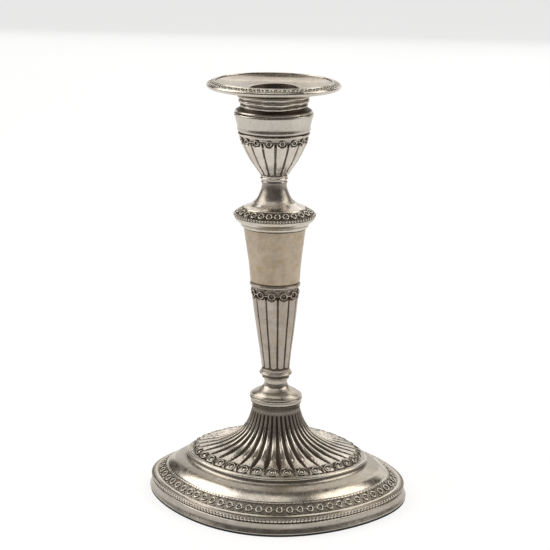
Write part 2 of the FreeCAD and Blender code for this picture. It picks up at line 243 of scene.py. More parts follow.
def floor_material():
    """White that glows a little, so that the floor stays pale out to its edge."""
    material, nodes, links, shader = new_material("pale_floor")
    place = nodes.new("ShaderNodeTexCoord").outputs["Object"]
    stops = [(0.3, (0.29, 0.29, 0.29)), (0.7, (0.31, 0.31, 0.31))]
    tone = ramp(nodes, links, noise(nodes, links, place, 6.0), stops)
    links.new(tone, shader.inputs["Base Color"])
    shader.inputs["Roughness"].default_value = 0.9
    shader.inputs["Specular IOR Level"].default_value = 0.1
    shader.inputs["Emission Color"].default_value = (1.0, 1.0, 1.0, 1.0)
    shader.inputs["Emission Strength"].default_value = 0.76
    return material


def silver(name, tones, roughness, stain_amount=0.35, patch=45.0):
    """Tarnished silver: two metal tones and a stain in drifting patches, brown oxide in the recesses, and
    the same brown where each mesh's mask paints tarnish or painted shade, fine wear on the roughness, and
    shallow dents.
    Scales are in waves per metre."""
    light, dull, stain = tones
    oxide_reach = 1.3 * MM
    material, nodes, links, shader = new_material(name)
    place = nodes.new("ShaderNodeTexCoord").outputs["Object"]
    drift = noise(nodes, links, place, 110.0, 6.0, 0.68)
    tone = ramp(nodes, links, drift, [(0.32, dull), (0.66, light)])
    stain_patch = noise(nodes, links, place, patch, 6.0, 0.65)
    stain_fac = map_range(nodes, links, stain_patch, 0.46, 0.66, 0.0, stain_amount)
    tone = blend_colours(nodes, links, stain_fac, tone, stain)
    speck = noise(nodes, links, place, 900.0, 3.0, 0.7)
    speck_fac = map_range(nodes, links, speck, 0.6, 0.74, 0.0, 0.6)
    tone = blend_colours(nodes, links, speck_fac, tone, SPECKS)
    cavity = nodes.new("ShaderNodeAmbientOcclusion")
    cavity.inputs["Distance"].default_value = oxide_reach
    cavity.samples = 8
    oxide_fac = map_range(nodes, links, cavity.outputs["AO"], 0.35, 0.85, 1.0, 0.0)
    # each mesh's mask of tarnish and painted shade, mixed in with the oxide's brown
    tarnish_and_shade = nodes.new("ShaderNodeAttribute")
    tarnish_and_shade.attribute_name = "tarnish_and_shade"
    oxide_and_shade = combine(nodes, links, "MAXIMUM", oxide_fac, tarnish_and_shade.outputs["Fac"])
    tone = blend_colours(nodes, links, oxide_and_shade, tone, OXIDE_AND_SHADE)
    links.new(tone, shader.inputs["Base Color"])
    shader.inputs["Metallic"].default_value = 1.0
    wear = noise(nodes, links, place, 320.0, 6.0, 0.7)
    rough = map_range(nodes, links, wear, 0.3, 0.7, roughness - 0.07, roughness + 0.1)
    rough = combine(nodes, links, "MULTIPLY_ADD", oxide_and_shade, 0.25, rough)
    links.new(rough, shader.inputs["Roughness"])
    dents = noise(nodes, links, place, 130.0, 3.0, 0.5)
    fine = noise(nodes, links, place, 1600.0, 2.0, 0.6)
    bump = add_bump(nodes, links, dents, 0.12)
    bump = add_bump(nodes, links, fine, 0.012, bump)
    links.new(bump, shader.inputs["Normal"])
    return material


def dull_material(name, dark, light, scale, roughness, bump_mm=0.05, metallic=0.0):
    """Plain material of a piece that hardly shows: two tones in a fine grain, with a little relief."""
    material, nodes, links, shader = new_material(name)
    place = nodes.new("ShaderNodeTexCoord").outputs["Object"]
    grain = noise(nodes, links, place, scale, 5.0, 0.65)
    links.new(ramp(nodes, links, grain, [(0.3, dark), (0.7, light)]), shader.inputs["Base Color"])
    rough = map_range(nodes, links, grain, 0.3, 0.7, roughness - 0.06, roughness + 0.06)
    links.new(rough, shader.inputs["Roughness"])
    shader.inputs["Metallic"].default_value = metallic
    links.new(add_bump(nodes, links, grain, bump_mm), shader.inputs["Normal"])
    return material


# ---- ovals ----
def body_oval(a):
    """Half-width and pinch of the body's section whose half-length is a."""
    knots = ((0.0, 0.0), SLENDER, LIP, BAND, FOOT)
    b = np.interp(a, [k[0] for k in knots], [k[1] for k in knots])
    return b, FOOT_PINCH * np.clip((a - SLENDER[0]) / (LIP[0] - SLENDER[0]), 0.0, 1.0)


def urn_oval(a):
    """Plain ellipse of the urn, the collar on the stem and the neck."""
    return a * SLENDER[1] / SLENDER[0], 0 * a


def pan_oval(a):
    """The pan is round at its hole and keeps an even border round its edge."""
    past_edge = 10.0
    outermost = (NOZZLE_WELL[0] + past_edge, NOZZLE_WELL[1] + past_edge)
    knots = ((0.0, 0.0), NOZZLE_EYE, NOZZLE_WELL, outermost)
    return np.interp(a, [k[0] for k in knots], [k[1] for k in knots]), 0 * a


def collar_oval(a):
    """Ellipse of the collar under the pan."""
    return a * COLLAR_OVAL, 0 * a


def flange_oval(a):
    """The flange goes over from the collar's oval to the urn's."""
    share = (a - COLLAR_WAIST) / (FLANGE - COLLAR_WAIST)
    return COLLAR_WAIST * COLLAR_OVAL * (1 - share) + urn_oval(FLANGE)[0] * share, 0 * a


def circle(a):
    """Round section of the candle tube."""
    return a, 0 * a


def oval_point(a, b, pinch, angles):
    """Place on an oval at an angle; the pinch draws its flanks in on either side of their middle."""
    cos, sin = np.cos(angles), np.sin(angles)
    return a * cos, b * sin * (1 - pinch * cos**2)


def oval_speed(a, b, pinch, angles):
    """How that place moves as the angle grows."""
    cos, sin = np.cos(angles), np.sin(angles)
    return -a * sin, b * cos * (1 - pinch * cos**2 + 2 * pinch * sin**2)


def smooth_run(points, step):
    """Points about a step apart on a smooth curve through the given ones."""
    knots = np.array(points, float)
    gaps = np.linalg.norm(np.diff(knots, axis=0), axis=1)
    places = np.concatenate([[0.0], np.cumsum(gaps)])
    count = max(1, round(places[-1] / step))
    at = np.linspace(0.0, places[-1], count + 1)
    if len(knots) == 2:
        share = (at / places[-1])[:, None]
        return knots[0] * (1 - share) + knots[1] * share
    slopes = np.gradient(knots, places, axis=0)
    i = np.clip(np.searchsorted(places, at, side="right") - 1, 0, len(gaps) - 1)
    gap = gaps[i][:, None]
    u = ((at - places[i]) / gaps[i])[:, None]
    start_weight = 2 * u**3 - 3 * u**2 + 1
    return (start_weight * knots[i] + (1 - start_weight) * knots[i + 1]
            + gap * ((u**3 - 2 * u**2 + u) * slopes[i] + (u**3 - u**2) * slopes[i + 1]))


class Form:
    """A surface of ovals: a profile of runs, from the bottom up, swept round the axis."""

    def __init__(self, runs, oval=body_oval, step=0.6):
        parts = [smooth_run(run, step) for run in runs]
        path = np.vstack([parts[0]] + [part[1:] for part in parts[1:]])
        self.z, self.a = path[:, 0], path[:, 1]
        self.b, self.pinch = oval(self.a)
        gaps = np.hypot(np.diff(self.z), np.diff(self.a))
        self.s = np.concatenate([[0.0], np.cumsum(gaps)])
        self.values = (self.a, self.b, self.pinch, self.z)
        self.slopes = [np.gradient(values, self.s) for values in self.values]

    def frame(self, values, slopes, angles):
        """Points, the way round and the outward normal, from (a, b, pinch, z) and their slopes."""
        a, b, pinch, z = values
        da, db, dpinch, dz = slopes
        x, y = oval_point(a, b, pinch, angles)
        across, along = oval_speed(a, b, pinch, angles)
        level = 0 * x
        up_x, up_y = oval_point(da, db, pinch, angles)
        up_y = up_y - b * np.sin(angles) * np.cos(angles) ** 2 * dpinch
        points = np.stack([x, y, z + level], axis=-1)
        round_way = np.stack([across, along, level], axis=-1)
        up_way = np.stack([up_x, up_y, dz + level], axis=-1)
        out = np.cross(round_way, up_way)
        return points, round_way, out / np.linalg.norm(out, axis=-1, keepdims=True)

    def grid(self, angles):
        """Points, outward normals and the speed round the oval, at every row and angle."""
        values = [v[:, None] for v in self.values]
        slopes = [v[:, None] for v in self.slopes]
        points, round_way, out = self.frame(values, slopes, angles[None, :])
        return points, out, np.linalg.norm(round_way, axis=-1)

    def spots(self, s, angles, lift=0.0):
        """Origins and (round, up, out) axes on the surface, a distance s along the profile."""
        values = [np.interp(s, self.s, v) for v in self.values]
        slopes = [np.interp(s, self.s, v) for v in self.slopes]
        points, round_way, out = self.frame(values, slopes, angles)
        round_way /= np.linalg.norm(round_way, axis=-1, keepdims=True)
        return points + lift * out, np.stack([round_way, np.cross(out, round_way), out], axis=1)

    def even_angles(self, s, count):
        """Angles of evenly spaced places round the oval at s, the first one at the front."""
        a, b, pinch = (np.interp(s, self.s, v) for v in self.values[:3])
        fine = np.radians(FRONT) + np.linspace(0, 2 * np.pi, 4001)
        speed = np.hypot(*oval_speed(a, b, pinch, fine))
        run = np.concatenate([[0.0], np.cumsum((speed[1:] + speed[:-1]) / 2)])
        return np.interp(np.arange(count) * run[-1] / count, run, fine)

    def s_at(self, z):
        """Distance along the profile at a height, for a profile that only rises."""
        return float(np.interp(z, self.z, self.s))

    def s_where(self, half_length):
        """Distance along the profile, past its widest point, where it first narrows to a half-length."""
        widest = int(np.argmax(self.a))
        past = widest + int(np.argmax(self.a[widest:] <= half_length))
        share = (self.a[past - 1] - half_length) / (self.a[past - 1] - self.a[past])
        return float(self.s[past - 1] + share * (self.s[past] - self.s[past - 1]))


def all_round(count, start=FRONT):
    """Equal angles for the mesh columns, in radians."""
    return math.radians(start) + np.arange(count) * 2 * math.pi / count


# ---- meshes ----
def finish_mesh(name, vertices, faces, tarnish_and_shade=None, crease=40.0):
    """Smooth-shaded mesh in metres, sharp where faces meet at more than the crease angle."""
    mesh = bpy.data.meshes.new(name)
    mesh.from_pydata((np.asarray(vertices) * MM).tolist(), [], faces)
    mesh.validate()
    mesh.shade_smooth()
    mesh.set_sharp_from_angle(angle=math.radians(crease))
    layer = mesh.attributes.new("tarnish_and_shade", "FLOAT", "POINT")
    if tarnish_and_shade is not None:
        layer.data.foreach_set("value", np.asarray(tarnish_and_shade, dtype=np.float32).ravel())
    return mesh


def add_piece(mesh, material, body, *nodes, slot=TARNISHED):
    """Put a mesh in the scene as a piece that rides on a body and stands for any CAD nodes named."""
    piece = bpy.data.objects.new(mesh.name, mesh)
    bpy.context.scene.collection.objects.link(piece)
    mesh.materials.append(material)
    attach(piece, body)
    if nodes:
        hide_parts(*nodes)


def over_grid(values, form, angles):
    """Full array over a form's rows and the angles, from a number, one value a row, or itself."""
    values = np.asarray(values, float)
    if values.ndim == 1:
        values = values[:, None]
    return values + np.zeros((len(form.s), len(angles)))


def shell(name, form, angles, thickness, relief=0.0, tarnish_and_shade=0.0, turn=0.0, closed=True, crease=40.0,
          part=slice(None), inside_rows=24, level_ends=(True, True)):
    """Closed mesh of a sheet: the form's outside with its relief, and a plain inside.

    An open range of angles gives a part of the ring, closed by a flat face at each end. A part of the
    rows may be asked for. Its bottom and top ends are level, or square to the sheet.
    """
    points, out, _ = form.grid(angles)
    points, out = points[part], out[part]
    outside = points + over_grid(relief, form, angles)[part][..., None] * out
    rows = len(points)
    inner_rows = np.unique(np.linspace(0, rows - 1, min(rows, inside_rows)).round().astype(int))[::-1]
    inward = points - thickness * out
    inside = inward[inner_rows]
    for row, end, level in ((0, rows - 1, level_ends[1]), (-1, 0, level_ends[0])):
        if level:
            inside[row] = level_inset(points[end], inward[end])
    loop = np.concatenate([outside, inside])
    marks = np.zeros(loop.shape[:2])
    marks[:rows] = over_grid(tarnish_and_shade, form, angles)[part]
    loop = loop @ turn_matrix(turn)
    mesh = finish_mesh(name, loop.reshape(-1, 3), ring_faces(*loop.shape[:2], closed), marks, crease)
    sharpen_rows(mesh, len(angles), (0, rows - 1, rows, len(loop) - 1))
    return mesh


def sharpen_rows(mesh, columns, rows):
    """Mark the edges that run along the given rows of a grid mesh as sharp."""
    ends = np.empty(2 * len(mesh.edges), dtype=np.int32)
    mesh.edges.foreach_get("vertices", ends)
    row = ends.reshape(-1, 2) // columns
    sharp = np.empty(len(mesh.edges), dtype=bool)
    mesh.edges.foreach_get("use_edge_sharp", sharp)
    sharp |= (row[:, 0] == row[:, 1]) & np.isin(row[:, 0], rows)
    mesh.edges.foreach_set("use_edge_sharp", sharp)


def turn_matrix(degrees):
    """Matrix that turns row vectors about the axis."""
    cos, sin = math.cos(math.radians(degrees)), math.sin(math.radians(degrees))
    return np.array([[cos, sin, 0], [-sin, cos, 0], [0, 0, 1]])


def level_inset(edge, inward):
    """End row of a shell's inside: moved inwards by as much as the inset row, but kept level."""
    row = inward.copy()
    row[:, 2] = edge[:, 2]
    return row


def ring_faces(rows, columns, closed=True):
    """Quads of a grid whose rows form a loop, with a face over each end if its columns don't."""
    index = np.arange(rows * columns).reshape(rows, columns)
    above = np.roll(index, -1, axis=0)
    right = np.roll(index, -1, axis=1)
    above_right = np.roll(above, -1, axis=1)
    quads = np.stack([index, right, above_right, above], axis=-1)
    if closed:
        return quads.reshape(-1, 4).tolist()
    faces = quads[:, :-1].reshape(-1, 4).tolist()
    return faces + [index[:, 0].tolist(), index[::-1, -1].tolist()]


def closed_ring(name, form, angles, relief=0.0, tarnish_and_shade=0.0):
    """Mesh of a piece of the nozzle whose profile closes on itself."""
    points, out, _ = form.grid(angles)
    points = points + over_grid(relief, form, angles)[..., None] * out
    loop = points[:-1] @ turn_matrix(NOZZLE_TWIST)
    marks = over_grid(tarnish_and_shade, form, angles)[:-1]
    return finish_mesh(name, loop.reshape(-1, 3), ring_faces(*loop.shape[:2]), marks)


def plate(name, form, angles):
    """Solid plate between the two ends of a form."""
    points, _, _ = form.grid(angles)
    loop = points[[0, -1]]
    count = len(angles)
    faces = [list(range(count))[::-1], list(range(count, 2 * count))]
    for k in range(count):
        after = (k + 1) % count
        faces.append([k, after, after + count, k + count])
    return finish_mesh(name, loop.reshape(-1, 3), faces)


class Trim:
    """Many small solids set on a form, gathered into one mesh."""

    def __init__(self):
        self.vertices = []
        self.faces = []
        self.count = 0

    def add(self, spots, shape):
        """Put a copy of a shape, (vertices, faces), at every spot; local axes are round, up, out."""
        points, faces = shape
        for origin, axes in zip(*spots):
            self.vertices.append(origin + points @ axes)
            self.faces += [[i + self.count for i in face] for face in faces]
            self.count += len(points)
        return self

    def mesh(self, name, turn=0.0):
        """The solids as one mesh, turned about the axis."""
        vertices = np.concatenate(self.vertices) @ turn_matrix(turn)
        return finish_mesh(name, vertices, self.faces, crease=50.0)


def ring_shape(radius, wire, tall=1.0, sides=24, wire_sides=8):
    """Ring of round wire; tall stretches it up the slope."""
    around = np.arange(sides) * 2 * math.pi / sides
    across = np.arange(wire_sides) * 2 * math.pi / wire_sides
    reach = radius + wire * np.cos(across)[:, None]
    points = np.stack([reach * np.cos(around), tall * reach * np.sin(around),
                       wire * np.sin(across)[:, None] + 0 * around], axis=-1)
    return points.reshape(-1, 3), ring_faces(wire_sides, sides)


def bead_shape(half_width, half_height, rise, sides=10, levels=5):
    """Egg-shaped bead, widest at the surface it sits on."""
    points = [(0.0, 0.0, -rise)]
    for level in range(1, levels):
        tilt = math.pi * level / levels - math.pi / 2
        for k in range(sides):
            turn = 2 * math.pi * k / sides
            points.append((half_width * math.cos(tilt) * math.cos(turn),
                           half_height * math.cos(tilt) * math.sin(turn), rise * math.sin(tilt)))
    points.append((0.0, 0.0, rise))
    top = len(points) - 1
    faces = []
    for k in range(sides):
        after = (k + 1) % sides
        faces.append([0, 1 + after, 1 + k])
        faces.append([top, top - sides + k, top - sides + after])
        for level in range(levels - 2):
            low = 1 + level * sides
            faces.append([low + k, low + after, low + sides + after, low + sides + k])
    return np.array(points), faces


def bar_shape(half_length, half_width, rise, depth=0.5):
    """Bar with a ridge along its top."""
    points = []
    for x in (-half_length, half_length):
        points += [(x, -half_width, -depth), (x, half_width, -depth)]
        points += [(x, half_width, 0.4 * rise), (x, 0.0, rise), (x, -half_width, 0.4 * rise)]
    faces = [[4, 3, 2, 1, 0], [5, 6, 7, 8, 9]]
    for k in range(5):
        after = (k + 1) % 5
        faces.append([k, after, after + 5, k + 5])
    return np.array(points), faces


def dart_shape(half_base, height, rise, depth=0.4):
    """Three-sided pyramid that points up the slope, or down it for a negative height."""
    base = [(-half_base, 0.0), (half_base, 0.0), (0.0, height)]
    if height < 0:
        base = [base[1], base[0], base[2]]
    points = [(x, y, -depth) for x, y in base] + [(x, y, 0.0) for x, y in base]
    points.append((0.0, height / 3, rise))
    faces = [[2, 1, 0]]
    for k in range(3):
        after = (k + 1) % 3
        faces += [[k, after, after + 3, k + 3], [k + 3, after + 3, 6]]
    return np.array(points), faces


def ring_chain(form, at, where, between, ring, stud, bar):
    """Rings, a stud in each, and a bar or small ring between neighbours, each a lift and a shape."""
    chain = Trim()
    for angles, (lift, shape) in ((where, ring), (where, stud), (between, bar)):
        chain.add(form.spots(at, angles, lift), shape)
    return chain


def soft_step(value, edge, softness):
    """0 below the edge and 1 above it, rounded over the softness."""
    share = np.clip((value - edge) / softness + 0.5, 0.0, 1.0)
    return share * share * (3 - 2 * share)


def bump_row(value, centre, half_width):
    """Rounded ridge across the rows, 1 at its centre."""
    return np.sqrt(np.clip(1 - ((value - centre) / half_width) ** 2, 0.0, 1.0))


def cell(angles, count, start=FRONT):
    """Place within a repeat, from -1 to 1; the first repeat is centred on the start angle."""
    share = (angles - math.radians(start)) / (2 * math.pi) * count
    return 2 * (share - np.round(share))


# ---- the foot ----
def build_apron(metal, baize):
    """Baize, the upright apron and the beaded wire on top of it."""
    angles = all_round(FOOT_COLUMNS)
    pad = Form([[(0.0, 63.7), (0.95, 63.7)]], step=0.95)
    add_piece(plate("baize", pad, angles), baize, STICK, "baize_pad", slot="baize")
    apron = Form([
        [(0.95, 63.0), (1.05, 63.8), (1.6, 64.0)],
        [(1.6, 64.0), (3.5, 63.2), (5.4, 62.9)],
        [(5.4, 62.9), (5.9, 62.85), (6.2, 62.3)],
    ], step=0.35)
    mesh = shell("apron", apron, angles, 0.9, tarnish_and_shade=0.28)
    add_piece(mesh, metal, STICK, "foot_apron")

    wire = Form([[(6.2, 62.3), (6.6, 62.5)], [(6.6, 62.5), (7.5, 62.7), (8.4, 61.9)]], step=0.3)
    mesh = shell("foot_bead_ground", wire, angles, 1.8, tarnish_and_shade=0.6)
    add_piece(mesh, metal, STICK, "foot_bead_wire")
    at = wire.s_at(7.45)
    where = wire.even_angles(at, FOOT_BEADS)
    beads = Trim().add(wire.spots(at, where, -0.05), bead_shape(0.74, 0.75, 0.42))
    add_piece(beads.mesh("foot_beads"), metal, STICK)


def build_skirt(metal):
    """Sloping band with its chain of rings and a row of pearls, and the domed skirt above it."""
    band_foot_z, band_top_z, pearls_z = 9.05, 12.1, 12.35
    skirt = Form([
        [(8.4, 61.3), (8.7, 61.2), (8.95, 60.7), (band_foot_z, 60.2)],
        [(band_foot_z, 60.2), (band_top_z, 55.5)],
        [(band_top_z, 55.5), (12.5, 55.1), (12.7, 54.6)],
        [(12.7, 54.6), (14.1, 53.0), (15.7, 50.5), (16.6, 48.0), (17.2, 46.2), (17.9, 45.0), (19.0, 44.3)],
    ], step=0.4)
    low, high = skirt.s_at(band_foot_z), skirt.s_at(band_top_z)
    ground = soft_step(skirt.s, low + 0.2, 0.4) * (1 - soft_step(skirt.s, high - 0.2, 0.4))
    # painted shade just under the lip
    painted_shade_under_lip = 0.4 * soft_step(skirt.s, skirt.s[-1] - 0.8, 0.8)
    # and a painted dark reflection over the upper skirt
    painted_shade_under_lip += 0.3 * soft_step(skirt.s, skirt.s_at(15.6), 1.5)
    # oxide on the band's sunk ground, plus that painted shade
    tarnish_and_shade = 0.5 * ground + painted_shade_under_lip
    mesh = shell("skirt", skirt, all_round(FOOT_COLUMNS), STRUCK_SHEET, -0.4 * ground, tarnish_and_shade)
    add_piece(mesh, metal, STICK, "foot_skirt")
    middle = (low + high) / 2
    where = skirt.even_angles(middle, FOOT_RINGS)
    between = skirt.even_angles(middle, 2 * FOOT_RINGS)[1::2]
    chain = ring_chain(skirt, middle, where, between, (-0.2, ring_shape(1.3, 0.42, tall=1.1)),
                       (-0.3, bead_shape(0.42, 0.42, 0.3, 8, 4)), (-0.3, bar_shape(1.1, 0.2, 0.35)))
    chain.add(skirt.spots(low + 0.35, between, -0.35), dart_shape(0.75, 1.25, 0.45))
    chain.add(skirt.spots(high - 0.35, between, -0.35), dart_shape(0.75, -1.25, 0.45))
    add_piece(chain.mesh("foot_ring_chain"), metal, STICK)
    at = skirt.s_at(pearls_z)
    where = skirt.even_angles(at, PEARLS)
    pearls = Trim().add(skirt.spots(at, where, -0.05), bead_shape(0.62, 0.3, 0.28, 8, 4))
    add_piece(pearls.mesh("foot_pearls"), metal, STICK)


def flute_relief(form, angles, ring):
    """Relief, and tarnish with painted shade, of the tongues that flare out over their rings, and the
    channels between them.

    outside is the distance out from the niche round the nearest ring, and below the rings the niches
    meet at a tip. share is the place across a flute, 0 over its ring and 1 in the middle of a channel.
    """
    _, _, speed = form.grid(angles)
    half = speed * math.pi / FLUTES
    share = np.abs(cell(angles, FLUTES, FRONT + 180 / FLUTES))[None, :]
    across = share * half
    s = form.s[:, None]
    rim, top, neck = form.s_where(43.7), form.s_at(43.4), form.s_at(38.0)
    above_ring = s - ring
    to_tip = np.clip(-above_ring / NICHE_TIP, 0, 1)
    niche = (NICHE_SHARE + (1 - NICHE_SHARE) * to_tip) * half
    outside = np.hypot(across, np.maximum(above_ring, 0) / NICHE_RISE) - niche
    tongue = soft_step(outside, 0.1, 0.3)
    reach = np.interp(above_ring, [at for at, _ in CHANNEL_SHARES], [wide for _, wide in CHANNEL_SHARES])
    in_channel = np.clip(1 - (1 - share) / np.maximum(reach, 0.01), 0, 1)
    channel = np.sqrt(in_channel * (2 - in_channel)) * (1 - soft_step(s, top, 1.5))
    depth = np.minimum(0.75 * reach * half, CHANNEL_DEPTH)
    crown = 0.16 * np.clip(1 - (share / (1 - reach)) ** 2, 0, 1) * soft_step(above_ring, 8.0, 12.0)
    lip = 0.38 * bump_row(outside, 0.32, 0.38)
    past_rim = soft_step(s, rim, 0.3)
    ground = -NICHE_DEPTH * soft_step(s, rim + 0.9, 1.6)
    relief = past_rim * (tongue * (crown + lip - depth * channel) + (1 - tongue) * ground)
    # oxide and painted shade darken the channels and the ground round the rings
    tarnish_and_shade = past_rim * (0.3 * (1 - tongue) + 0.95 * tongue * soft_step(channel, 0.45, 0.7))
    # painted darker towards the neck: a painted dark reflection
    tarnish_and_shade = tarnish_and_shade + 0.6 * soft_step(s, neck, 9.0) * (1 - tarnish_and_shade)
    return relief, tarnish_and_shade


def build_trumpet(metal):
    """Plateau with its lip, and the fluted trumpet, with a ring and boss under the end of each flute."""
    angles = all_round(FLUTES * COLUMNS_PER_FLUTE)
    form = Form([
        [(19.0, 44.2), (19.3, 44.6), (19.9, 44.7), (20.4, 44.3)],
        [(20.4, 44.3), (20.5, 43.8)],
        [(20.5, 43.8), (21.6, 42.5), (22.8, 40.7), (24.0, 36.6), (26.1, 28.5), (29.2, 21.6), (33.8, 16.0),
         (38.6, 13.3), (44.4, 11.5)],
        [(44.4, 11.5), (44.9, 11.5)],
    ], step=0.2)
    ring = form.s_where(40.6)
    relief, tarnish_and_shade = flute_relief(form, angles, ring)
    # the flutes above the plateau need only every second row, the last one at the top
    meet = int(np.searchsorted(form.s, form.s_where(28.5)))
    meet += (len(form.s) - 1 - meet) % 2
    parts = (("fluted_plateau", slice(0, meet + 1), (True, False)),
             ("fluted_trumpet_flutes", slice(meet, None, 2), (False, True)))
    for name, part, level_ends in parts:
        mesh = shell(name, form, angles, FLUTED_SHEET, relief, tarnish_and_shade, crease=48.0, part=part,
                     inside_rows=12, level_ends=level_ends)
        add_piece(mesh, metal, STICK, "fluted_trumpet")

    where = all_round(FLUTES, FRONT + 180 / FLUTES)
    paterae = Trim()
    paterae.add(form.spots(ring, where, -0.75), ring_shape(1.6, 0.27))
    paterae.add(form.spots(ring, where, -0.9), bead_shape(0.8, 0.8, 0.35, 10, 5))
    add_piece(paterae.mesh("flute_end_rings"), metal, STICK)


# ---- the knop and stem ----
def build_knop(metal):
    """Knop in two halves, with a reeded wire over their seam."""
    angles = all_round(SLIM_COLUMNS)
    ring = Form([
        [(44.9, 11.4), (45.1, 11.7), (45.6, 11.7)],
        [(45.6, 11.7), (45.7, 11.3), (46.1, 11.4)],
        [(46.1, 11.4), (47.2, 12.0), (47.9, 12.4)],
        [(47.9, 12.4), (48.0, 12.05), (48.3, 12.4)],
        [(48.3, 12.4), (49.3, 12.4)],
    ], step=0.2)
    shaded = 0.55 * (1 - soft_step(ring.s, ring.s_at(47.4), 2.2))
    mesh = shell("knop_ring_turned", ring, angles, TURNED_SHEET, tarnish_and_shade=shaded)
    add_piece(mesh, metal, STICK, "knop_ring")
    wire = Form([
        [(49.1, 12.1), (49.3, 12.6), (49.9, 12.8), (50.5, 12.6), (50.7, 12.1)],
        [(50.7, 12.1), (50.8, 12.5), (51.3, 12.6), (51.7, 12.4), (51.9, 11.9)],
    ], step=0.15)
    add_piece(shell("knop_reed", wire, angles, 0.5), metal, STICK, "knop_wire")
    bell = Form([
        [(51.4, 12.0), (51.9, 11.8), (52.8, 10.8), (54.5, 7.9), (55.9, 6.2), (57.7, 5.5)],
    ], step=0.35)
    add_piece(shell("knop_bell_turned", bell, angles, TURNED_SHEET), metal, STICK, "knop_bell")


def build_stem_base(metal):
    """Turned moulding under the stem, with a shaded hollow between its two rings."""
    base = Form([
        [(57.7, 5.5), (59.1, 5.7), (59.9, 5.9)],
        [(59.9, 5.9), (60.0, 6.4), (60.4, 6.6), (60.7, 6.3)],
        [(60.7, 6.3), (61.4, 6.9), (62.2, 7.4)],
        [(62.2, 7.4), (62.3, 7.8), (62.7, 7.95), (63.1, 7.6)],
        [(63.1, 7.6), (63.3, 7.6), (63.6, 7.5), (63.9, 7.0)],
    ], step=0.15)
    hidden = soft_step(base.s, base.s_at(60.7), 0.3) - soft_step(base.s, base.s_at(62.2), 0.3)
    mesh = shell("stem_base_turned", base, all_round(SLIM_COLUMNS), TURNED_SHEET, tarnish_and_shade=0.55 * hidden)
    add_piece(mesh, metal, STICK, "stem_base_ring")


def tongue_relief(form, angles, count, foot, head, ring_radius, groove=0.34, depth=0.5):
    """Upright tongues with dark grooves between them, rounded below and notched above round a ring.

    Returns the relief, and its tarnish with painted shade in the grooves and notches. The notch is a half
    circle about the ring's centre, at head.
    """
    sunk, crown_rise, lip_rise = 0.12, 0.14, 0.16
    _, _, speed = form.grid(angles)
    half = speed * math.pi / count
    across = cell(angles, count)[None, :] * half
    s = form.s[:, None]
    reach = half - groove
    side = soft_step(reach - np.abs(across), 0.0, 0.25)
    round_foot = foot + reach - np.sqrt(np.clip(reach**2 - across**2, 0, None))
    above_foot = soft_step(s, round_foot, 0.3)
    to_ring = np.hypot(across, np.minimum(s - head, 0))
    notch = soft_step(to_ring, ring_radius, 0.3) * (1 - soft_step(s, head, 0.4))
    lip = lip_rise * bump_row(to_ring, ring_radius + 0.25, 0.4) * (s < head)
    tongue = side * above_foot * notch
    zone = soft_step(s, foot - 0.6, 0.4)
    crown = crown_rise * np.sqrt(np.clip(1 - (across / half) ** 2, 0, 1))
    relief = zone * (-depth + tongue * (depth - sunk + crown + lip))
    depth_of_shade = 0.8 - 0.25 * soft_step(s, head, 1.5)
    return relief, zone * (1 - tongue) * depth_of_shade


def build_stem(metal, plain_metal):
    """Stem in two halves: tongues below, a ring chain in a dark frieze, and a plain band above."""
    form = Form([
        [(63.9, 6.9), (64.8, 6.85), (65.9, 6.85), (71.2, 7.35), (83.9, 9.0), (99.0, 10.8), (106.6, 11.55)],
        [(106.6, 11.55), (109.4, 11.8)],
        [(109.4, 11.8), (118.3, 12.5), (126.5, 13.55), (135.3, 14.7)],
    ], step=0.42)
    tongues_z, ring_z, darts_z, frieze_z, plain_z = 65.6, 103.6, 106.5, 107.0, 108.8
    s = form.s[:, None]
    frieze = 1 - soft_step(s, form.s_at(frieze_z), 0.3)
    groove = bump_row(s, form.s_at(plain_z), 0.45)
    foot, head = form.s_at(tongues_z), form.s_at(ring_z)
    seam = 0.35
    halves = (("stem_front", 180.0, "stem_front_half"), ("stem_back", 0.0, "stem_back_half"))
    for name, start, node in halves:
        angles = np.radians(np.linspace(start + seam, start + 180 - seam, STEM_HALF_COLUMNS))
        relief, tarnish_and_shade = tongue_relief(form, angles, STEM_TONGUES, foot, head, 2.45)
        relief = relief * frieze - 0.4 * groove
        tarnish_and_shade = tarnish_and_shade * frieze + 0.85 * groove
        mesh = shell(name, form, angles, STRUCK_SHEET, relief, tarnish_and_shade, closed=False)
        add_piece(mesh, metal, STICK, node, slot="stained_silver")
        mesh.materials.append(plain_metal)
        heights = np.array([polygon.center.z for polygon in mesh.polygons]) / MM
        mesh.polygons.foreach_set("material_index", (heights > plain_z).astype(np.int32))
    wire = Form([[(106.9, 11.5), (107.1, 11.95), (107.7, 12.1), (108.2, 12.0), (108.4, 11.6)]], step=0.15)
    mesh = shell("stem_fillet", wire, all_round(SLIM_COLUMNS), 0.5)
    add_piece(mesh, metal, STICK, "stem_wire")

    where = all_round(STEM_TONGUES)
    between = all_round(STEM_TONGUES, FRONT + 180 / STEM_TONGUES)
    chain = ring_chain(form, head, where, between, (-0.15, ring_shape(1.55, 0.36)),
                       (-0.45, bead_shape(0.5, 0.5, 0.35, 8, 4)), (-0.15, bar_shape(1.0, 0.22, 0.3)))
    chain.add(form.spots(form.s_at(darts_z), between, -0.4), dart_shape(1.0, -1.4, 0.35))
    chain.add(form.spots(head - 3.0, between, -0.35), dart_shape(0.3, 2.6, 0.4))
    add_piece(chain.mesh("stem_ring_chain"), metal, STICK)


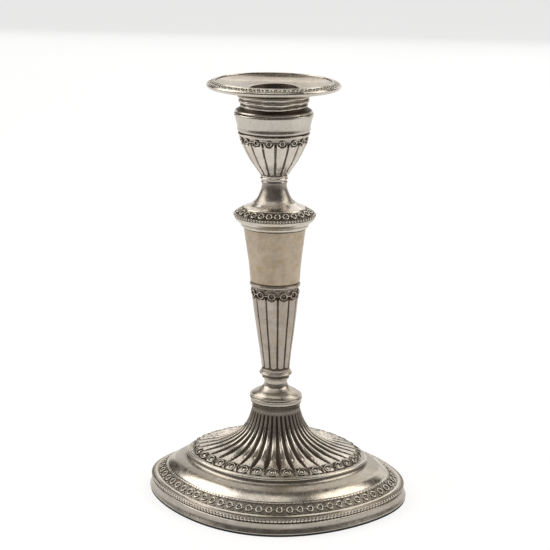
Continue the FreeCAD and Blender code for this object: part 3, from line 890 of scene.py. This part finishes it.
# ---- the collar and neck ----
def build_collar(metal):
    """Ogee underside of the collar on the stem, and its beaded edge."""
    angles = all_round(WIDE_COLUMNS)
    dish = Form([
        [(135.1, 14.6), (135.6, 15.0)],
        [(135.6, 15.0), (135.9, 15.6), (136.5, 16.05), (137.3, 16.2)],
        [(137.3, 16.2), (137.6, 16.4), (138.3, 17.3), (139.4, 18.5), (140.2, 18.95)],
        [(140.2, 18.95), (140.7, 19.0)],
    ], oval=urn_oval, step=0.25)
    grooves = bump_row(dish.s, dish.s_at(135.5), 0.45) + 0.6 * bump_row(dish.s, dish.s_at(137.5), 0.3)
    mesh = shell("collar_dish_turned", dish, angles, TURNED_SHEET, -0.25 * grooves, 0.9 * grooves)
    add_piece(mesh, metal, STICK, "collar_dish")
    edge = Form([[(140.7, 18.9), (141.1, 19.1), (141.7, 19.2), (142.2, 18.8)]], oval=urn_oval, step=0.2)
    mesh = shell("collar_bead_ground", edge, angles, 1.0, tarnish_and_shade=0.9)
    add_piece(mesh, metal, STICK, "collar_bead_wire")
    at = edge.s_at(141.6)
    where = edge.even_angles(at, COLLAR_BEADS)
    beads = Trim().add(edge.spots(at, where, -0.05), bead_shape(0.6, 0.62, 0.42))
    add_piece(beads.mesh("collar_beads"), metal, STICK)


def build_collar_cap(metal):
    """Sloping top of the collar with its chain of rings."""
    band_foot_z, band_top_z = 142.6, 144.9
    cap = Form([
        [(142.2, 19.0), (band_foot_z, 18.9)],
        [(band_foot_z, 18.9), (band_top_z, 14.6)],
        [(band_top_z, 14.6), (145.2, 14.4), (145.4, 13.8)],
        [(145.4, 13.8), (146.2, 12.0), (147.6, 9.8)],
    ], oval=urn_oval, step=0.25)
    low, high = cap.s_at(band_foot_z), cap.s_at(band_top_z)
    ground = soft_step(cap.s, low + 0.2, 0.3) * (1 - soft_step(cap.s, high - 0.2, 0.3))
    angles = all_round(WIDE_COLUMNS)
    mesh = shell("collar_cap_struck", cap, angles, STRUCK_SHEET, -0.35 * ground, 0.85 * ground)
    add_piece(mesh, metal, STICK, "collar_cap")
    middle = (low + high) / 2
    where = cap.even_angles(middle, COLLAR_RINGS)
    between = cap.even_angles(middle, 2 * COLLAR_RINGS)[1::2]
    chain = ring_chain(cap, middle, where, between, (-0.15, ring_shape(1.2, 0.34, tall=1.15)),
                       (-0.3, bead_shape(0.35, 0.35, 0.25, 8, 4)), (-0.2, bar_shape(0.8, 0.2, 0.35)))
    chain.add(cap.spots(low + 0.3, between, -0.3), dart_shape(0.7, 1.1, 0.4))
    chain.add(cap.spots(high - 0.3, between, -0.3), dart_shape(0.55, -1.1, 0.4))
    add_piece(chain.mesh("collar_ring_chain"), metal, STICK)


def build_neck(metal):
    """Waisted neck between the collar and the urn."""
    neck = Form([
        [(147.6, 9.8), (149.1, 8.3), (152.1, 6.8), (154.5, 6.0), (156.0, 5.8)],
        [(156.0, 5.8), (156.8, 5.8)],
        [(156.8, 5.8), (156.9, 6.1), (157.4, 6.2), (157.8, 6.0)],
    ], oval=urn_oval, step=0.25)
    mesh = shell("neck_turned", neck, all_round(WIDE_COLUMNS), TURNED_SHEET, tarnish_and_shade=0.2)
    add_piece(mesh, metal, STICK, "neck")


# ---- the urn ----
def build_urn_cup(metal):
    """Ring moulding, and the urn's bowl of tongues under a chain of rings."""
    foot_ring = Form([
        [(157.8, 6.0), (158.2, 5.9), (158.5, 6.0)],
        [(158.5, 6.0), (158.7, 6.5), (159.2, 6.6), (159.6, 6.3)],
        [(159.6, 6.3), (159.7, 6.1)],
    ], oval=urn_oval, step=0.15)
    mesh = shell("urn_foot_ring_turned", foot_ring, all_round(SLIM_COLUMNS), TURNED_SHEET)
    add_piece(mesh, metal, STICK, "urn_foot_ring")
    cup = Form([
        [(159.7, 6.1), (160.8, 6.7), (163.4, 8.4), (167.6, 11.3), (171.8, 13.6), (176.1, 15.4),
         (180.6, 16.4)],
    ], oval=urn_oval, step=0.3)
    columns = all_round(URN_TONGUES * COLUMNS_PER_URN_TONGUE)
    tongues_z, ring_z, fillet_z = 160.9, 177.5, 179.4
    foot, head = cup.s_at(tongues_z), cup.s_at(ring_z)
    relief, tarnish_and_shade = tongue_relief(cup, columns, URN_TONGUES, foot, head, 2.0, 0.42, 0.6)
    below_fillet = 1 - soft_step(cup.s, cup.s_at(fillet_z), 0.3)[:, None]
    lighter = 1 - 0.55 * soft_step(cup.s, head, 1.2)[:, None]
    tarnish_and_shade = tarnish_and_shade * below_fillet * lighter
    mesh = shell("urn_cup_struck", cup, columns, STRUCK_SHEET, relief * below_fillet, tarnish_and_shade)
    add_piece(mesh, metal, STICK, "urn_cup")
    where = all_round(URN_TONGUES)
    between = all_round(URN_TONGUES, FRONT + 180 / URN_TONGUES)
    chain = ring_chain(cup, head, where, between, (-0.15, ring_shape(1.05, 0.3)),
                       (-0.4, bead_shape(0.4, 0.4, 0.3, 8, 4)), (-0.25, bar_shape(1.6, 0.16, 0.25)))
    chain.add(cup.spots(head - 3.0, between, -0.35), dart_shape(0.35, 3.6, 0.4))
    add_piece(chain.mesh("urn_ring_chain"), metal, STICK)


def build_urn_band(metal, plain_metal):
    """Fillet over the bowl, and the urn's plain band with its lip."""
    wire = Form([
        [(179.3, 16.0), (179.4, 16.5), (180.0, 16.75), (180.5, 16.7), (180.6, 16.4)],
    ], oval=urn_oval, step=0.15)
    add_piece(shell("urn_fillet", wire, all_round(SLIM_COLUMNS), 0.4), metal, STICK, "urn_wire")
    groove_z = 181.2
    band = Form([
        [(180.6, 16.4), (groove_z, 16.4)],
        [(groove_z, 16.4), (181.3, 16.65), (183.6, 17.0), (187.0, 17.8)],
        [(187.0, 17.8), (188.2, 18.2), (189.1, 18.45), (189.6, 18.35), (189.8, 18.05)],
    ], oval=urn_oval, step=0.3)
    groove = 1 - soft_step(band.s, band.s_at(groove_z), 0.3)
    mesh = shell("urn_band_plain", band, all_round(WIDE_COLUMNS), TURNED_SHEET, -0.2 * groove, groove)
    add_piece(mesh, plain_metal, STICK, "urn_band")


# ---- the loose nozzle ----
def build_pan(metal):
    """Dished drip pan with the hole for the candle."""
    pan = Form([
        [(200.35, 11.45), (200.35, 17.0), (201.0, 23.5), (202.1, 29.0)],
        [(202.1, 29.0), (202.4, 29.0)],
        [(202.4, 29.0), (202.4, 27.5), (203.7, 27.35)],
        [(203.7, 27.35), (203.75, 27.0), (203.3, 25.9), (202.7, 24.3), (202.0, 21.6), (201.45, 18.0),
         (201.15, 14.5), (201.0, 12.1)],
        [(201.0, 12.1), (200.85, 11.6), (200.6, 11.45)],
        [(200.6, 11.45), (200.35, 11.45)],
    ], oval=pan_oval, step=0.35)
    add_piece(closed_ring("pan", pan, all_round(WIDE_COLUMNS)), metal, NOZZLE, "nozzle_pan")


def build_pan_border(metal):
    """Raised border of the pan, with a chain of large and small rings."""
    border = Form([
        [(201.4, 29.2), (201.0, 29.7), (201.05, 30.4), (201.6, 31.0), (202.2, 31.25), (202.8, 31.2),
         (203.15, 30.9)],
        [(203.15, 30.9), (203.1, 30.6)],
        [(203.1, 30.6), (203.35, 30.4), (203.7, 29.5), (204.0, 28.7), (204.15, 28.0)],
        [(204.15, 28.0), (204.4, 27.85), (204.45, 27.55), (204.3, 27.3), (203.9, 27.2),
         (203.5, 27.3)],
        [(203.5, 27.3), (202.5, 28.2)],
        [(202.5, 28.2), (202.1, 29.3), (201.4, 29.2)],
    ], oval=pan_oval, step=0.2)
    start, at, end = border.s_where(30.35), border.s_where(29.25), border.s_where(28.2)
    band = soft_step(border.s, start, 0.3) * (1 - soft_step(border.s, end, 0.3))
    mesh = closed_ring("pan_border", border, all_round(WIDE_COLUMNS), -0.3 * band, 0.8 * band)
    add_piece(mesh, metal, NOZZLE, "nozzle_rim_wire")
    where = border.even_angles(at, BORDER_RINGS)
    between = border.even_angles(at, 2 * BORDER_RINGS)[1::2]
    small_ring = ring_shape(0.75, 0.2, tall=1.15, sides=16, wire_sides=6)
    chain = ring_chain(border, at, where, between, (-0.2, ring_shape(1.15, 0.28, tall=0.85)),
                       (-0.25, bead_shape(0.45, 0.4, 0.28, 8, 4)), (-0.2, small_ring))
    add_piece(chain.mesh("pan_border_rings", NOZZLE_TWIST), metal, NOZZLE)


def build_nozzle_collar(metal):
    """Grooved collar under the pan, bent in gentle waves, and the flange that covers the urn's lip."""
    angles = all_round(WIDE_COLUMNS)
    collar = Form([
        [(192.7, 15.4), (193.1, 15.7), (193.6, 15.7), (194.0, 15.3)],
        [(194.0, 15.3), (194.5, 15.6), (195.2, 16.3), (195.9, 16.3), (196.4, 15.8)],
        [(196.4, 15.8), (196.9, 15.9), (197.3, 16.7), (197.8, 16.9), (198.3, 16.5)],
        [(198.3, 16.5), (198.5, 16.0), (199.0, 15.9), (199.7, 16.2), (200.4, 16.9)],
    ], oval=collar_oval, step=0.22)
    waves = 0.22 * np.sin(5 * angles + 1.0) + 0.16 * np.sin(11 * angles) + 0.1 * np.sin(17 * angles + 2.0)
    sway = bump_row(collar.s, collar.s_at(195.5), 4.0)[:, None] * waves[None, :]
    shade = 0 * collar.s
    for groove_z, half_width in ((194.1, 0.6), (196.5, 0.4), (198.8, 0.6)):
        shade += 0.8 * bump_row(collar.s, collar.s_at(groove_z), half_width)
    mesh = shell("nozzle_collar_turned", collar, angles, TURNED_SHEET, sway, shade, turn=NOZZLE_TWIST)
    add_piece(mesh, metal, NOZZLE, "nozzle_collar")
    flange = Form([
        [(190.2, 17.8), (190.25, FLANGE), (190.6, FLANGE)],
        [(190.6, FLANGE), (191.1, 17.5), (191.7, 16.4), (192.3, 15.7), (192.8, 15.4)],
    ], oval=flange_oval, step=0.22)
    # painted shade over the flange, for the dark gap between the urn's lip and the collar
    painted_gap_shade = 0.95 * soft_step(flange.s, flange.s_at(191.0), 1.0)
    mesh = shell("nozzle_flange", flange, angles, 0.5, tarnish_and_shade=painted_gap_shade, turn=NOZZLE_TWIST)
    add_piece(mesh, metal, NOZZLE, "nozzle_collar")


def build_tube(metal):
    """Candle tube with its tapered end, and the floor that closes it."""
    angles = all_round(TUBE_COLUMNS)
    tube = Form([[(176.3, 9.0), (182.4, 11.4)], [(182.4, 11.4), (200.9, 11.4)]], oval=circle, step=0.8)
    mesh = shell("nozzle_socket_tube", tube, angles, 0.4)
    add_piece(mesh, metal, NOZZLE, "nozzle_socket", slot="oxidised_silver")
    closing = Form([[(176.3, 8.95), (176.8, 8.95)]], oval=circle, step=0.5)
    mesh = plate("nozzle_socket_floor", closing, angles)
    add_piece(mesh, metal, NOZZLE, slot="oxidised_silver")


# ---- CAD nodes that stay ----
def dress_inner_nodes():
    """The pieces inside keep their CAD shapes and get a finished material each."""
    looks = {
        dull_material("pitch", (0.010, 0.007, 0.006), (0.035, 0.024, 0.018), 220.0, 0.55):
            ("foot_filling", "stem_filling", "urn_filling"),
        dull_material("forged_iron", (0.10, 0.09, 0.085), (0.24, 0.20, 0.17), 500.0, 0.62, metallic=0.9):
            ("load_rod", "rod_washer", "rod_nut"),
        dull_material("beech_board", (0.30, 0.18, 0.10), (0.46, 0.31, 0.19), 160.0, 0.7): ("base_board",),
        dull_material("inner_sheet", (0.16, 0.14, 0.12), (0.34, 0.31, 0.27), 400.0, 0.45, metallic=1.0):
            ("urn_floor",),
    }
    for material, nodes in looks.items():
        for node in nodes:
            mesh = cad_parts[node].data
            mesh.materials.clear()
            mesh.materials.append(material)


def main():
    """Build the camera, the studio, the materials and then the pieces from the foot up."""
    make_camera()
    make_studio()
    struck = silver("struck_silver", STRUCK_TONES, roughness=0.22)
    plain = silver("stained_plain_silver", STAINED_TONES, roughness=0.34, stain_amount=0.75, patch=300.0)
    warm = silver("warm_silver", WARM_TONES, roughness=0.3, stain_amount=0.6, patch=150.0)
    satin = silver("satin_silver", SATIN_TONES, roughness=0.28)
    bright = silver("plain_silver", BRIGHT_TONES, roughness=0.25)
    # the socket's silver has much darker tones than the rest
    dark = silver("oxidised_silver", DARK_TONES, roughness=0.45)
    baize = dull_material("dark_baize", (0.010, 0.010, 0.012), (0.026, 0.026, 0.030), 2600.0, 0.95, 0.15)
    build_apron(struck, baize)
    build_skirt(struck)
    build_trumpet(struck)
    build_knop(satin)
    build_stem_base(satin)
    build_stem(warm, plain)
    build_collar(struck)
    build_collar_cap(struck)
    build_neck(satin)
    build_urn_cup(struck)
    build_urn_band(struck, bright)
    build_pan(satin)
    build_pan_border(struck)
    build_nozzle_collar(struck)
    build_tube(dark)
    dress_inner_nodes()


main()
